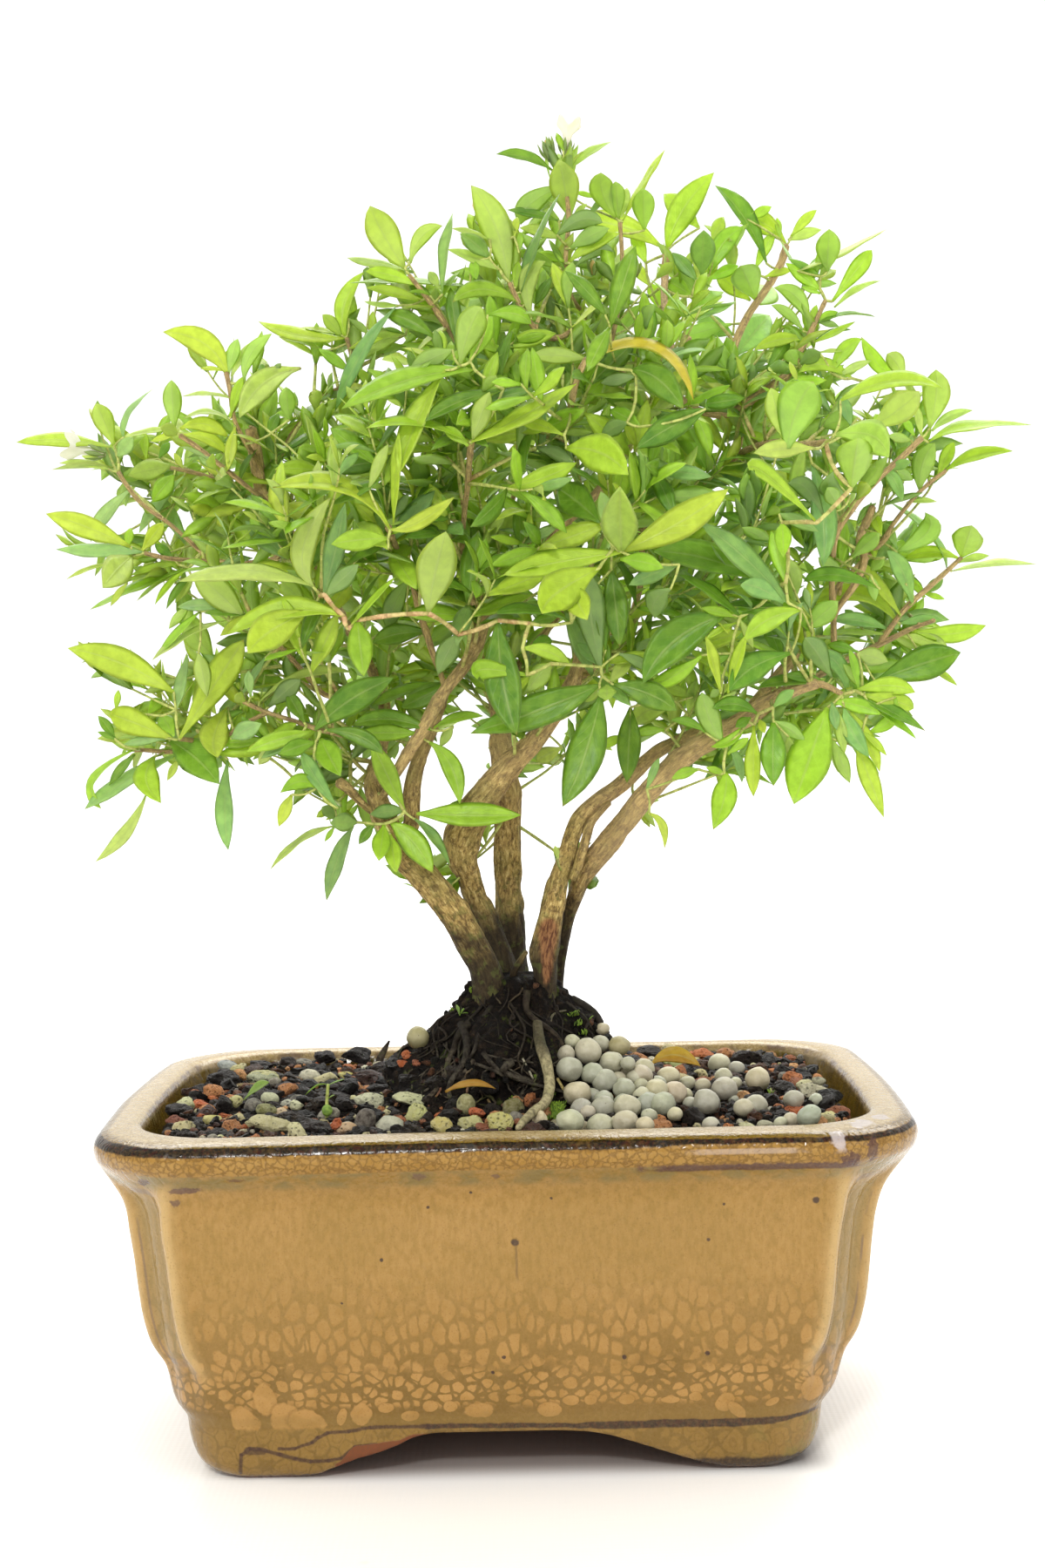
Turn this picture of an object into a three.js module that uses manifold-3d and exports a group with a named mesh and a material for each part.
// Serissa bonsai: a clump of five stems with leafy shoots and three flowers,
// grown in a glazed rectangular pot with indented corners and four feet.
// Units: millimetres. +Z up, front towards -Y.
import * as THREE from 'three';
import { mergeVertices } from 'three/addons/utils/BufferGeometryUtils.js';
import Module from 'manifold-3d';

const wasm = await Module();
wasm.setup();
const { Manifold, Mesh: SolidMesh } = wasm;

// ---------------------------------------------------------------- dimensions
const POT_WIDTH = 150;          // over the lip, left to right
const POT_DEPTH = 109.5;        // over the lip, front to back
const POT_HEIGHT = 62.5;        // feet to lip
const SIDE_BOW = 2.3;           // how far the short sides of the lip swell outward
const CORNER_INDENT = 3;        // set-back of the corner strips of the body
const FLOOR_TOP = 13;           // inside floor
const FOOT_RECESS = 9;          // underside of the floor
const FOOT_SHIFT = -1.3;        // the foot sits a little left of the lip
const BACK_ARCH = [28, 8];      // half width and height of the arch at the back
const SIDE_ARCH = [18, 8];      // the same for the two sides
const FRONT_ARCH = [            // edge of the arch at the front: x, z
  [-38, 0], [-34.5, 0.9], [-30.9, 2.6], [-27.4, 4], [-24, 4.9], [-20.5, 6.2], [-17.1, 7.9], [-13.6, 8.5], [8, 8.5],
  [13.5, 8.2], [17.5, 7.4], [21.6, 6.1], [26.4, 4.4], [30.6, 2.9], [33.3, 1.9], [38, 0.5], [41, 0],
];
const DRAIN_R = 5.5;            // drain holes
const DRAIN_X = 28;             // drain hole centres at +-X
const CLEARANCE = 0.32;         // gap between touching pieces
const TWIG_R = 0.5;             // green twigs of the shoots
const NODE_R = 0.95;            // swelling where leaves leave a twig
const LEAF_HALF_THICKNESS = 0.4;

// Wood: sides of the section, then centre line points [x, y, z, radius].
const WOOD = {
  stem_a: [
    [8, [[-3.37, -4, 72.28, 3.37], [-3.38, -4.02, 79.54, 3.37], [-4.12, -5.12, 86.65, 3.09], [-7.37, -6.15, 93.07, 3.01], [-10.87, -7.03, 99.37, 2.93], [-15.43, -7, 105.02, 2.87], [-19.79, -7.07, 110.82, 2.49], [-22.98, -6.21, 117.26, 2.13], [-24.19, -3.07, 123.57, 1.73], [-23.12, 1.15, 129.39, 1.29], [-22.53, 5.69, 135.01, 1.16], [-23.91, 9.76, 140.84, 1.09], [-26.62, 12.59, 146.92, 1.05], [-30.07, 14, 153.17, 1.05]]],
    [6, [[-16.64, -7, 106.4, 1.85], [-17.39, -5.36, 113.02, 2], [-17.26, -4.17, 120.14, 2.36], [-15.62, -2.91, 127.08, 2], [-12.56, -1.17, 133.42, 1.47], [-10.27, 2, 139.51, 0.86]]],
    [6, [[-21.51, -6.87, 113.99, 0.92], [-23.98, -6.13, 116.09, 0.85], [-26.19, -7.73, 118.2, 0.96], [-28.26, -8.72, 120.75, 1.3], [-30.66, -10, 122.81, 1.5]]],
  ],
  stem_b: [
    [8, [[0.26, 2, 71.37, 2.91], [0.22, 2.04, 78.91, 2.89], [-0.81, 2.95, 86.33, 2.59], [-3.05, 3.02, 93.52, 2.41], [-5.81, 1.56, 100.37, 2.12], [-7.61, -1.83, 106.85, 2.81], [-6.38, -3.93, 113.85, 3.39], [-2.27, -5.51, 119.97, 2.86], [2.55, -6.84, 125.62, 2.32], [7.72, -8.16, 130.96, 1.87], [12.19, -9.37, 136.92, 1.66], [15.34, -10.14, 143.65, 1.24], [16.37, -8.15, 150.84, 1.09], [16.6, -6, 158.07, 1.01]]],
  ],
  stem_c: [
    [8, [[1.89, 10, 70.23, 2.96], [1.88, 10, 77.59, 2.96], [1.6, 10.05, 84.95, 2.81], [1.42, 9.13, 92.25, 2.71], [1.07, 8.1, 99.53, 2.61], [1.04, 7.07, 106.82, 2.6], [1.43, 5.52, 113.99, 2.59], [1.23, 3.87, 121.08, 2.52], [0.27, 3.96, 128.37, 2.1], [-0.3, 5.29, 135.57, 1.53], [-2.58, 7.7, 142.1, 1.04], [-4.1, 9.99, 148.92, 1.05], [-4.51, 12, 155.99, 0.96]]],
  ],
  stem_d: [
    [8, [[7.8, -4, 72.03, 2.19], [7.81, -4.04, 79.38, 2.19], [7.9, -5.12, 86.63, 2.48], [8.99, -3.73, 93.69, 2.45], [10.43, -2.19, 100.74, 2.06], [12.8, -0.8, 107.57, 1.83], [15.53, 0.89, 114.15, 1.71], [20.9, 2.68, 118.79, 1.57], [26.66, 3.42, 123.2, 1.42], [32.32, 4.21, 127.7, 1.35], [38.98, 5.99, 130.28, 1.29], [45.8, 7.52, 132.56, 1.21], [51.48, 9.11, 136.73, 1.13], [56.43, 10, 142.03, 1.04], [59.88, 8.76, 148.04, 0.89], [58.84, 4, 153.49, 0.86]]],
  ],
  stem_e: [
    [8, [[10.31, 4, 74.33, 1.2], [10.36, 4, 81.88, 1.2], [11.58, 4.02, 89.33, 1.19], [13.42, 3.45, 96.61, 1.39], [16.26, 1.79, 103.38, 1.92], [20.51, -0.62, 109.14, 2.14], [24.93, -2.91, 114.82, 2.11], [29.44, -5.36, 120.36, 2.1], [34.63, -7.1, 125.54, 2.09], [40.91, -8.73, 129.35, 1.88], [47.2, -10.3, 133.22, 1.65], [53.35, -12.14, 137.2, 1.46], [60.47, -13.1, 139.45, 1.07]]],
    [5, [[59.5, -12.98, 139.22, 0.96], [61.03, -13.19, 139.55, 0.98], [62.4, -13.83, 138.93, 0.87], [63.69, -14.54, 138.2, 0.79], [64.89, -15.3, 137.37, 0.75]]],
  ],
  branch_a2: [
    [6, [[-23.44, -5.81, 118.5, 1.09], [-20.64, -12.1, 122.46, 1], [-16.53, -11.9, 129.13, 1.75], [-12.49, -10.4, 135.83, 1.75], [-8.11, -8.66, 142.22, 1.7], [-3.69, -8, 148.7, 2], [-0.71, -9.57, 155.6, 1.24], [3.25, -13.68, 161.01, 0.98], [8.56, -16.6, 166.13, 0.99], [14.58, -17.59, 171.27, 1.09], [20.43, -16.77, 176.58, 1.29], [24.49, -15.36, 183.25, 1.31], [28.94, -12.84, 189.35, 1.4], [32.59, -9.29, 195.48, 1.3], [35.55, -4.86, 201.41, 1.15], [38.41, 0, 207.05, 1.11]]],
    [5, [[-3.03, -7.95, 150.58, 1.19], [-4.38, -12.06, 156.34, 1.07], [-5.68, -16.65, 162.91, 0.78], [-5.59, -21.95, 169.03, 0.75], [-4.55, -28.13, 174.21, 0.75], [-3.73, -34.58, 179.09, 0.76], [-3.04, -41.7, 182.91, 0.92]]],
    [5, [[-9.97, -9.33, 139.99, 0.83], [-12.35, -9.03, 147.46, 0.92], [-14.54, -11.57, 155.06, 0.84], [-16.03, -15.77, 162.01, 0.82], [-17.61, -23.03, 165.72, 0.8], [-18.05, -31.17, 167.6, 0.81], [-18.06, -39.5, 168.53, 0.85]]],
    [5, [[35.55, -4.86, 201.41, 0.93], [35.25, 1.88, 206.56, 0.87], [35.07, 8.91, 211.33, 0.88], [35.01, 16.21, 215.66, 0.94], [35.36, 23.36, 220.23, 1.01], [36.16, 30.26, 225.11, 1.08], [36.89, 36, 231.24, 1.11]]],
  ],
  branch_a5: [
    [6, [[-26.28, 12.39, 146.26, 0.89], [-29.46, 11.37, 152.56, 1.09], [-32.66, 7.67, 158.68, 1.34], [-35.6, 2.81, 164.1, 1.7], [-39.6, -1.1, 169.5, 2.42], [-43.28, -3.31, 176.07, 2.45], [-45.02, -6.14, 183.16, 2], [-45.72, -9, 190.44, 1.5]]],
    [5, [[-32.05, 8.67, 157.42, 0.85], [-29.9, 2.25, 154.93, 0.77], [-30.64, -5.62, 155.84, 0.76], [-31.35, -13.48, 156.8, 0.75], [-31.43, -21.42, 157.2, 0.75], [-31.03, -29.36, 157.18, 0.75], [-30.58, -37.3, 157.12, 0.75]]],
    [5, [[-38.8, -0.68, 168.39, 1.12], [-41.71, -2.12, 166.14, 0.87], [-48.96, 0.15, 165.56, 0.76], [-56.59, 0.17, 167.16, 0.75], [-62.25, 0.96, 172.76, 0.75], [-68.62, 2.06, 177.46, 0.75], [-73.22, 2, 184, 0.75]]],
    [5, [[-45.01, -6.09, 183.03, 0.83], [-45.42, -10.58, 185.78, 0.75], [-47.77, -13.3, 189.64, 0.75], [-48.69, -14.06, 194.9, 0.75], [-49.36, -14.2, 200.28, 0.75]]],
    [5, [[-42.78, -2.93, 174.95, 0.83], [-43.76, -9.11, 177.26, 0.75], [-48.01, -12.83, 180.54, 0.75], [-53.18, -13.1, 184.84, 0.75], [-58.54, -13.1, 188.93, 0.75]]],
    [5, [[-39.36, -0.98, 169.17, 0.75], [-42.94, 3.11, 173.91, 0.75], [-47.48, 7.54, 177.47, 0.75], [-51.53, 12.03, 181.45, 0.75], [-57.88, 14.09, 184.22, 0.75], [-64.94, 14, 185.94, 0.75]]],
    [5, [[-54.92, -0.06, 166.08, 0.75], [-57.66, -2.54, 166.11, 0.75], [-60.42, -4.98, 166.17, 0.75], [-63.36, -7.17, 166.43, 0.75], [-66.82, -8, 167.38, 0.75]]],
  ],
  branch_a7: [
    [5, [[-23.74, -1.28, 126.13, 0.93], [-21.82, -2.48, 128.59, 0.84], [-22.99, -6.34, 129.57, 0.8], [-24.41, -10.18, 130.34, 0.76], [-26.02, -13.94, 131.03, 0.74], [-28.02, -17.55, 131.53, 0.75], [-30.17, -21.06, 132.15, 0.75], [-32.8, -24.09, 133, 0.75], [-36.2, -22.48, 134.34, 0.75], [-39.85, -20.84, 135.46, 0.75], [-43.6, -19.53, 136.65, 0.75], [-47.22, -18.6, 138.47, 0.75]]],
    [5, [[-42.88, -19.76, 136.36, 0.75], [-45.88, -16.98, 135.35, 0.75], [-48.83, -14.39, 133.87, 0.75], [-51.71, -12.15, 131.75, 0.75], [-55.09, -9.84, 131.03, 0.75], [-57.86, -12.7, 131.38, 0.75], [-59.81, -16.4, 131.9, 0.75]]],
    [5, [[-54.46, -10.06, 131.05, 0.75], [-58.26, -8.99, 130.11, 0.75], [-62.05, -7.53, 129.2, 0.75], [-66.04, -6.4, 129.44, 0.75], [-70.13, -6, 129.78, 0.75]]],
  ],
  branch_b1: [
    [6, [[12.54, -9.49, 137.42, 1.42], [16.76, -5.36, 142.61, 1.33], [20.66, 0.9, 146.09, 1.11], [24.63, 6.41, 150.53, 0.88], [28.01, 10.8, 156.49, 0.87], [29.41, 13.93, 163.85, 0.87], [28.67, 10.54, 170.79, 1.03], [34.74, 8.94, 175.38, 1.04], [41.68, 9.37, 179.59, 1.04], [47.6, 12.06, 184.48, 1.06], [50.12, 16.14, 190.98, 0.97], [50.01, 20.98, 197.55, 0.98], [48.44, 26.05, 203.73, 0.99], [50.2, 30.26, 210.46, 1.1], [53.59, 33.14, 217.29, 1.1], [58.5, 33.79, 223.7, 1.11], [61.65, 32, 230.9, 1.01]]],
    [5, [[47.19, 11.8, 184, 0.9], [50.19, 6.29, 186.05, 0.96], [51.96, -1.03, 186.1, 0.92], [53.12, -8.48, 185.75, 0.85], [55.32, -15.56, 184.71, 0.81], [58.11, -22.35, 183.13, 0.81], [59.02, -29.8, 182.47, 0.87], [59.62, -37.3, 181.96, 0.93]]],
  ],
  branch_c1: [
    [5, [[0.13, 4.45, 131.67, 1.33], [1.6, 9.43, 137.06, 1.07], [3.56, 14.08, 142.98, 0.87], [7.13, 15.95, 148.88, 0.86], [12.48, 17.74, 154.22, 0.89], [15.95, 19.8, 160.88, 0.9], [15.37, 20.25, 168.54, 0.81], [14.55, 18.34, 176.06, 0.79], [13.63, 14.08, 182.48, 0.79], [12.72, 7.3, 185.94, 0.78], [12.69, -0.49, 186.3, 0.78], [12.85, -8.3, 185.86, 0.79], [13.08, -16.1, 185.38, 0.8], [13.41, -23.9, 185.53, 0.81], [14.02, -31.52, 187.12, 0.79], [14.97, -38.32, 190.65, 0.77], [17.51, -38.4, 197.5, 0.77]]],
  ],
  branch_c2: [
    [5, [[-4.42, 11.46, 154.05, 0.84], [-3.05, 15.12, 161.21, 0.8], [-0.45, 18.12, 168.31, 0.77], [2.58, 20.47, 175.51, 0.75], [5.4, 22.03, 182.96, 0.75], [5.19, 20.33, 190.79, 0.75], [3.35, 15.48, 196.91, 0.76], [1.32, 8.01, 199.29, 0.78], [-0.26, 0.03, 199.91, 0.76], [-2.27, -7.75, 201.17, 0.78], [-5.29, -14.58, 204.22, 0.83], [-9.58, -17.47, 210.41, 0.75], [-14.41, -17.5, 216.97, 0.75]]],
  ],
  branch_e1: [
    [5, [[54.77, -12.36, 137.85, 1.1], [57.8, -4.74, 138.81, 0.97], [63.15, 1.46, 141.43, 0.94], [70.2, 4.13, 144.8, 0.88], [78.03, 4, 148.34, 0.84], [86.01, 4, 151.49, 0.75]]],
    [5, [[74.94, 4, 146.91, 0.75], [78.57, 3.26, 152.05, 0.77], [82.94, 4.43, 156.31, 0.77], [87.58, 7.11, 159.82, 0.76], [92.29, 8, 163.9, 0.75]]],
  ],
  branch_e3: [
    [5, [[65.98, 3.58, 142.79, 0.81], [65.81, 0.36, 149.77, 0.85], [64.9, -3.55, 156.32, 0.84], [64.56, -7.63, 162.83, 0.91], [65.7, -10.14, 169.65, 1.01], [70.59, -9.97, 175.56, 0.91], [76.17, -8.57, 180.65, 0.83], [81.86, -8, 185.74, 0.84]]],
    [5, [[65.62, -0.73, 151.76, 0.75], [68.6, -1.15, 156.87, 0.92], [71.62, -2.71, 162.27, 1.08], [70.14, -3.92, 167.83, 1.1], [73.14, -3, 173.34, 1.01]]],
    [5, [[65.08, -2.79, 155.13, 0.75], [67.41, 2.52, 159.55, 0.75], [73.15, 3.12, 164.39, 0.75], [77.32, 0.87, 169.89, 0.74], [82.03, -0.01, 175.65, 0.75], [87.93, 0, 180.33, 0.75]]],
  ],
  branch_f1: [
    [5, [[34.09, -7.17, 198.5, 1.03], [36.34, -1.67, 194.87, 1.06], [43.27, 1.62, 191.66, 1.07], [50.67, 2.15, 195.06, 1.18], [57.25, -1.58, 198.88, 1.16], [61.4, -1.09, 206.05, 0.77], [65.19, 0, 213.62, 0.75]]],
  ],
  branch_f3: [
    [5, [[30.41, -11.62, 191.66, 0.82], [27.51, -5.73, 196.27, 0.75], [24.5, -0.98, 202.4, 0.75], [20.31, -1.9, 208.8, 0.75], [16.22, -7.73, 213.15, 0.75], [14.68, -12.44, 219.25, 0.75], [15.53, -8.61, 226.19, 0.75], [15.67, -3.66, 232.87, 0.75], [15.18, 0, 240.39, 0.75]]],
    [5, [[19.26, -3.05, 209.84, 0.75], [16.29, -8.37, 207.99, 0.75], [12.67, -14.34, 204.65, 0.75], [7.61, -18.44, 207.91, 0.75], [4.18, -19.7, 214.66, 0.75]]],
    [5, [[23.73, -0.17, 204.34, 0.75], [24.5, 1.22, 210.14, 0.75], [25.82, 2.15, 216.58, 0.75], [26.17, 2, 223.23, 0.75], [25.81, 2, 229.89, 0.75]]],
  ],
  branch_g1: [
    [5, [[-43.54, -3.53, 176.7, 1.11], [-42.87, -1.09, 183.41, 0.82], [-39.22, 1.73, 190.45, 0.75], [-33.97, 2.05, 197.05, 0.75], [-26.57, 2.03, 200.6, 0.75], [-27.78, 0, 208.63, 0.75]]],
  ],
  branch_h1: [
    [5, [[-22.66, 6.74, 136.33, 0.86], [-23.49, 2.35, 140.1, 0.75], [-26.98, -5.38, 140.08, 0.75], [-32.21, -11.97, 138.8, 0.75], [-37.28, -10.97, 144.69, 0.75], [-41.06, -17.02, 149.57, 0.75], [-44.85, -23.55, 153.81, 0.75]]],
  ],
};

// Leafy shoots. twigs: [from xyz, to xyz]; leaves: [base xyz, middle xyz, tip xyz, width, roll].
const SHOOTS = {
  leaves_01: {
    twigs: [[36.49, 37.04, 231.84, 36.11, 38.03, 232.42], [36.11, 38.03, 232.42, 39.01, 35.68, 229.9], [39.01, 35.68, 229.9, 43.47, 26, 223.88], [43.47, 26, 223.88, 53.72, 34.92, 221.08]],
    leaves: [
      [36.11, 38.03, 232.42, 40.9, 38.43, 240.39, 47.72, 41.11, 248.51, 5.93, 1.39],
      [36.11, 38.03, 232.42, 27.04, 38.06, 237.18, 16.84, 40.56, 239.07, 5.23, -1.34],
      [53.72, 34.92, 221.08, 53.09, 27.5, 222.92, 50.88, 21, 224.83, 6.17, 0.42],
      [53.72, 34.92, 221.08, 58.25, 40.5, 222.39, 60.48, 47, 225.13, 5.51, 0.78],
    ],
  },
  leaves_02: {
    twigs: [[51.32, -13.22, 135.37, 51.39, -19.7, 132.64], [51.39, -19.7, 132.64, 42.89, -19.7, 128.94], [42.89, -19.7, 128.94, 34.42, -8, 136.6]],
    leaves: [
      [51.39, -19.7, 132.64, 51.03, -21.95, 127.21, 50.67, -24.2, 120.82, 4.87, -0.05],
      [34.42, -8, 136.6, 29.07, -4.58, 135.21, 26.37, -0.04, 132.37, 4.68, -1.86],
      [42.89, -19.7, 128.94, 39.53, -20.2, 133.4, 38.03, -22.11, 138.28, 4.54, 1.03],
      [51.39, -19.7, 132.64, 44.48, -19.75, 136.04, 40.01, -20.82, 135.33, 3.08, -1.6],
    ],
  },
  leaves_03: {
    twigs: [[89.85, 7.86, 160.58, 90.3, 7.77, 159.91], [90.3, 7.77, 159.91, 92.29, 6.02, 164.3], [90.3, 7.77, 159.91, 84.22, 5.82, 150.07], [84.22, 5.82, 150.07, 82.81, 4, 148.58]],
    leaves: [
      [92.29, 6.02, 164.3, 92.05, 1.5, 166.69, 91.82, -5, 169.22, 5.07, -0.35],
      [90.3, 7.77, 159.91, 86.46, 9.7, 168.29, 78.9, 13.52, 175.9, 4.65, -0.03],
      [90.3, 7.77, 159.91, 98.58, 8.55, 162.24, 107.81, 11.14, 162.36, 4.52, 0.23],
      [82.81, 4, 148.58, 88.83, 3.81, 148.69, 96.36, 5.34, 150.28, 3.78, 1.59],
    ],
  },
  leaves_04: {
    twigs: [[62.95, 0.69, 210.19, 62.43, 1.48, 210.31], [62.43, 1.48, 210.31, 64.22, 0, 215.65], [64.22, 0, 215.65, 59.9, 0, 219.44]],
    leaves: [
      [59.9, 0, 219.44, 68.35, 0.91, 223.1, 77.9, 4.08, 227.91, 5.1, 0.34],
      [64.22, 0, 215.65, 71.5, -0.21, 219.62, 73.99, -1.91, 222.72, 3.4, 1.77],
      [62.43, 1.48, 210.31, 68.91, 0.36, 210.91, 75.09, 2.14, 210.58, 3.19, 0.46],
      [62.43, 1.48, 210.31, 59.34, -1.09, 214.39, 54.92, -3.32, 215.75, 3.4, 1.06],
    ],
  },
  leaves_05: {
    twigs: [[62.71, -13.35, 139.9, 63.39, -15.3, 135.93], [63.39, -15.3, 135.93, 67.35, -15.3, 137.96]],
    leaves: [
      [63.39, -15.3, 135.93, 58.14, -17.08, 125.66, 54.34, -21.17, 117.41, 8.2, -0.62],
      [67.35, -15.3, 137.96, 72.63, -15.71, 134.73, 79.85, -17.84, 130.18, 3.57, 0.8],
      [67.35, -15.3, 137.96, 73.61, -15.15, 138.8, 78.44, -16.36, 137.38, 3.61, 1.58],
      [63.39, -15.3, 135.93, 66.45, -16.14, 130.63, 69.3, -18.24, 125.55, 3.61, 1.12],
    ],
  },
  leaves_06: {
    twigs: [[-59.68, -17.2, 131.91, -59.49, -18.4, 131.92], [-59.49, -18.4, 131.92, -60.36, -17.5, 140.57]],
    leaves: [
      [-59.49, -18.4, 131.92, -52.19, -17.13, 142.83, -46.79, -19.42, 150.13, 5.88, 1.82],
      [-59.49, -18.4, 131.92, -68.34, -19.32, 135.39, -71.72, -22.66, 136.78, 5.22, -1.67],
      [-60.36, -17.5, 140.57, -59.37, -16.44, 141.37, -58.09, -14.11, 147.59, 2.76, 0.15],
      [-59.49, -18.4, 131.92, -62.38, -13.92, 134.62, -64.15, -10.34, 136.54, 3.26, -0.58],
    ],
  },
  leaves_07: {
    twigs: [[-49.01, -14.13, 200.73, -48.73, -14.07, 201.09], [-48.73, -14.07, 201.09, -35.44, -14.2, 200.77]],
    leaves: [
      [-35.44, -14.2, 200.77, -42.28, -15.04, 198.04, -46.69, -17.66, 191.32, 5.26, -1.57],
      [-48.73, -14.07, 201.09, -53.22, -14.71, 205.65, -60.61, -17, 207.71, 4.94, -1.75],
      [-48.73, -14.07, 201.09, -44.86, -14.13, 203.44, -40.52, -15.33, 207.19, 2.8, -1.21],
      [-48.73, -14.07, 201.09, -47.98, -14.7, 203.45, -46.92, -15.21, 206.39, 2.4, -0.98],
    ],
  },
  leaves_08: {
    twigs: [[6.62, -19.87, 211.15, 7.73, -20.2, 211.37], [7.73, -20.2, 211.37, 16.04, -13.8, 219.4]],
    leaves: [
      [7.73, -20.2, 211.37, -0.49, -21.22, 213.37, -6.22, -24.32, 210.55, 3.76, -1.23],
      [7.73, -20.2, 211.37, 7.57, -19.75, 215.05, 10.85, -21.11, 218.21, 3.18, 2.06],
      [16.04, -13.8, 219.4, 19.82, -13.27, 222.65, 25.02, -14.77, 224.31, 2.8, 1.47],
      [16.04, -13.8, 219.4, 19.39, -14.48, 224.04, 23.05, -15.85, 225.09, 3.3, -1.25],
    ],
  },
  leaves_09: {
    twigs: [[15.24, -11.76, 141.78, 19.54, -28.5, 141.69], [19.54, -28.5, 141.69, 19.14, -28.5, 138.21], [19.54, -28.5, 141.69, 0.85, -34, 152.03]],
    leaves: [
      [19.14, -28.5, 138.21, 7.99, -28.13, 135.77, -4.73, -30.76, 131.82, 6.35, -1.54],
      [19.14, -28.5, 138.21, 16.05, -28.69, 127.66, 11.68, -31.46, 118.2, 6.99, -1.19],
      [0.85, -34, 152.03, 1.38, -34.43, 141.41, 3.83, -37.36, 131.4, 6.58, -0.01],
      [19.54, -28.5, 141.69, 17.5, -30.73, 152.87, 17.24, -35.25, 160.3, 5.72, 0.31],
    ],
  },
  leaves_10: {
    twigs: [[52.29, -13.19, 137.99, 42.14, -29.6, 152.34], [42.14, -29.6, 152.34, 51.39, -29.6, 157.32], [51.39, -29.6, 157.32, 52.6, -36.2, 153.85]],
    leaves: [
      [42.14, -29.6, 152.34, 32.76, -29.25, 147.84, 26.65, -31.26, 140.07, 7.28, -1.48],
      [52.6, -36.2, 153.85, 48.66, -36.21, 150.84, 44.58, -37.6, 147.33, 4.05, -1.49],
      [42.14, -29.6, 152.34, 39.22, -29.75, 156.66, 33.64, -31.5, 159.52, 3.45, -0.88],
      [52.6, -36.2, 153.85, 47.31, -38.29, 156.49, 43.63, -41.38, 156.87, 3.74, -1.85],
    ],
  },
  leaves_11: {
    twigs: [[-32.93, -23.81, 132.31, -33.46, -23.59, 131.41], [-33.46, -23.59, 131.41, -38.88, -19.51, 134.77], [-38.88, -19.51, 134.77, -42.42, -18.38, 137.57], [-33.46, -23.59, 131.41, -29.67, -24.1, 118.47]],
    leaves: [
      [-33.46, -23.59, 131.41, -27.2, -27.75, 138.17, -18.6, -33.48, 142.27, 5.78, 1.72],
      [-42.42, -18.38, 137.57, -36.48, -19.02, 142.77, -26.5, -21.63, 143.48, 4.83, 0.43],
      [-33.46, -23.59, 131.41, -30.6, -28.62, 128.25, -28.15, -34.08, 124.73, 4.82, 0.55],
      [-29.67, -24.1, 118.47, -33.69, -24.16, 124.36, -36.12, -25.74, 129.27, 3.21, -1.37],
    ],
  },
  leaves_12: {
    twigs: [[-63.82, 14, 186.33, -63.62, 14, 187.18], [-63.62, 14, 187.18, -73.92, 2, 189.1]],
    leaves: [
      [-73.92, 2, 189.1, -83.55, 0.95, 190.44, -92.49, -0.09, 189.97, 4.53, -0.76],
      [-63.62, 14, 187.18, -68.5, 10.85, 185.32, -72.41, 7.71, 183.89, 4.22, -1.56],
      [-73.92, 2, 189.1, -75, -0.98, 193.23, -76.08, -3.96, 196.63, 4.1, 0.6],
      [-63.62, 14, 187.18, -65.92, 9.36, 181.68, -67.57, 4.72, 178.36, 3.87, -0.91],
    ],
  },
  leaves_13: {
    twigs: [[87.35, 0, 180.83, 87.24, 0, 180.92], [87.24, 0, 180.92, 81.2, 0, 176.74], [87.24, 0, 180.92, 83.38, -8, 187.52]],
    leaves: [
      [83.38, -8, 187.52, 90.49, -8.06, 187.51, 103.45, -5.73, 187.99, 5.24, 0.5],
      [83.38, -8, 187.52, 84.14, -11.53, 193.11, 83.31, -16.41, 197.45, 5.34, -0.21],
      [81.2, 0, 176.74, 83.07, -2.75, 181.83, 84.75, -6.64, 185.01, 4.43, -0.54],
      [87.24, 0, 180.92, 93.66, -0.27, 182.86, 100.51, -2.15, 183.49, 3.35, 0.96],
    ],
  },
  leaves_14: {
    twigs: [[58.41, -22.32, 182.2, 59.09, -21.9, 179.97], [59.09, -21.9, 179.97, 52.26, -40.6, 179.91], [52.26, -40.6, 179.91, 63.62, -40.6, 173.55]],
    leaves: [
      [52.26, -40.6, 179.91, 53.53, -46.3, 186.73, 55.51, -53.6, 190.4, 7.15, -0.49],
      [63.62, -40.6, 173.55, 63.24, -47.1, 177.53, 62.87, -53.6, 180.68, 6.23, -0.16],
      [59.09, -21.9, 179.97, 61.02, -21.8, 170.66, 60.55, -23.99, 160.92, 4.87, 0.03],
      [52.26, -40.6, 179.91, 50.52, -42.96, 186.73, 49.19, -45.32, 190.71, 4, 0.43],
    ],
  },
  leaves_15: {
    twigs: [[-17.87, -40.47, 168.32, -17.62, -41.7, 168.04], [-17.62, -41.7, 168.04, -31.56, -39.5, 158.42], [-31.56, -39.5, 158.42, -26.31, -39.5, 153.07]],
    leaves: [
      [-31.56, -39.5, 158.42, -42.97, -39.93, 161.57, -54.81, -43.2, 159.68, 5.98, -0.6],
      [-26.31, -39.5, 153.07, -36.23, -40.09, 154.2, -46.38, -43.17, 150.35, 5.32, -0.88],
      [-31.56, -39.5, 158.42, -33.18, -39.98, 165.17, -27.8, -42.41, 174, 4.63, -0.82],
      [-31.56, -39.5, 158.42, -27.37, -39.63, 165.06, -25.44, -41.74, 172.94, 4.16, 1.66],
    ],
  },
  leaves_16: {
    twigs: [[-67.33, -8, 167.92, -68.17, -8, 168.8], [-68.17, -8, 168.8, -60.14, 2, 165.02]],
    leaves: [
      [-60.14, 2, 165.02, -69.8, 1.99, 161.5, -79.15, -0.55, 157.19, 5.22, -0.37],
      [-68.17, -8, 168.8, -70.82, -14.5, 164.03, -72.47, -21, 160.19, 6.01, -0.88],
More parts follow.
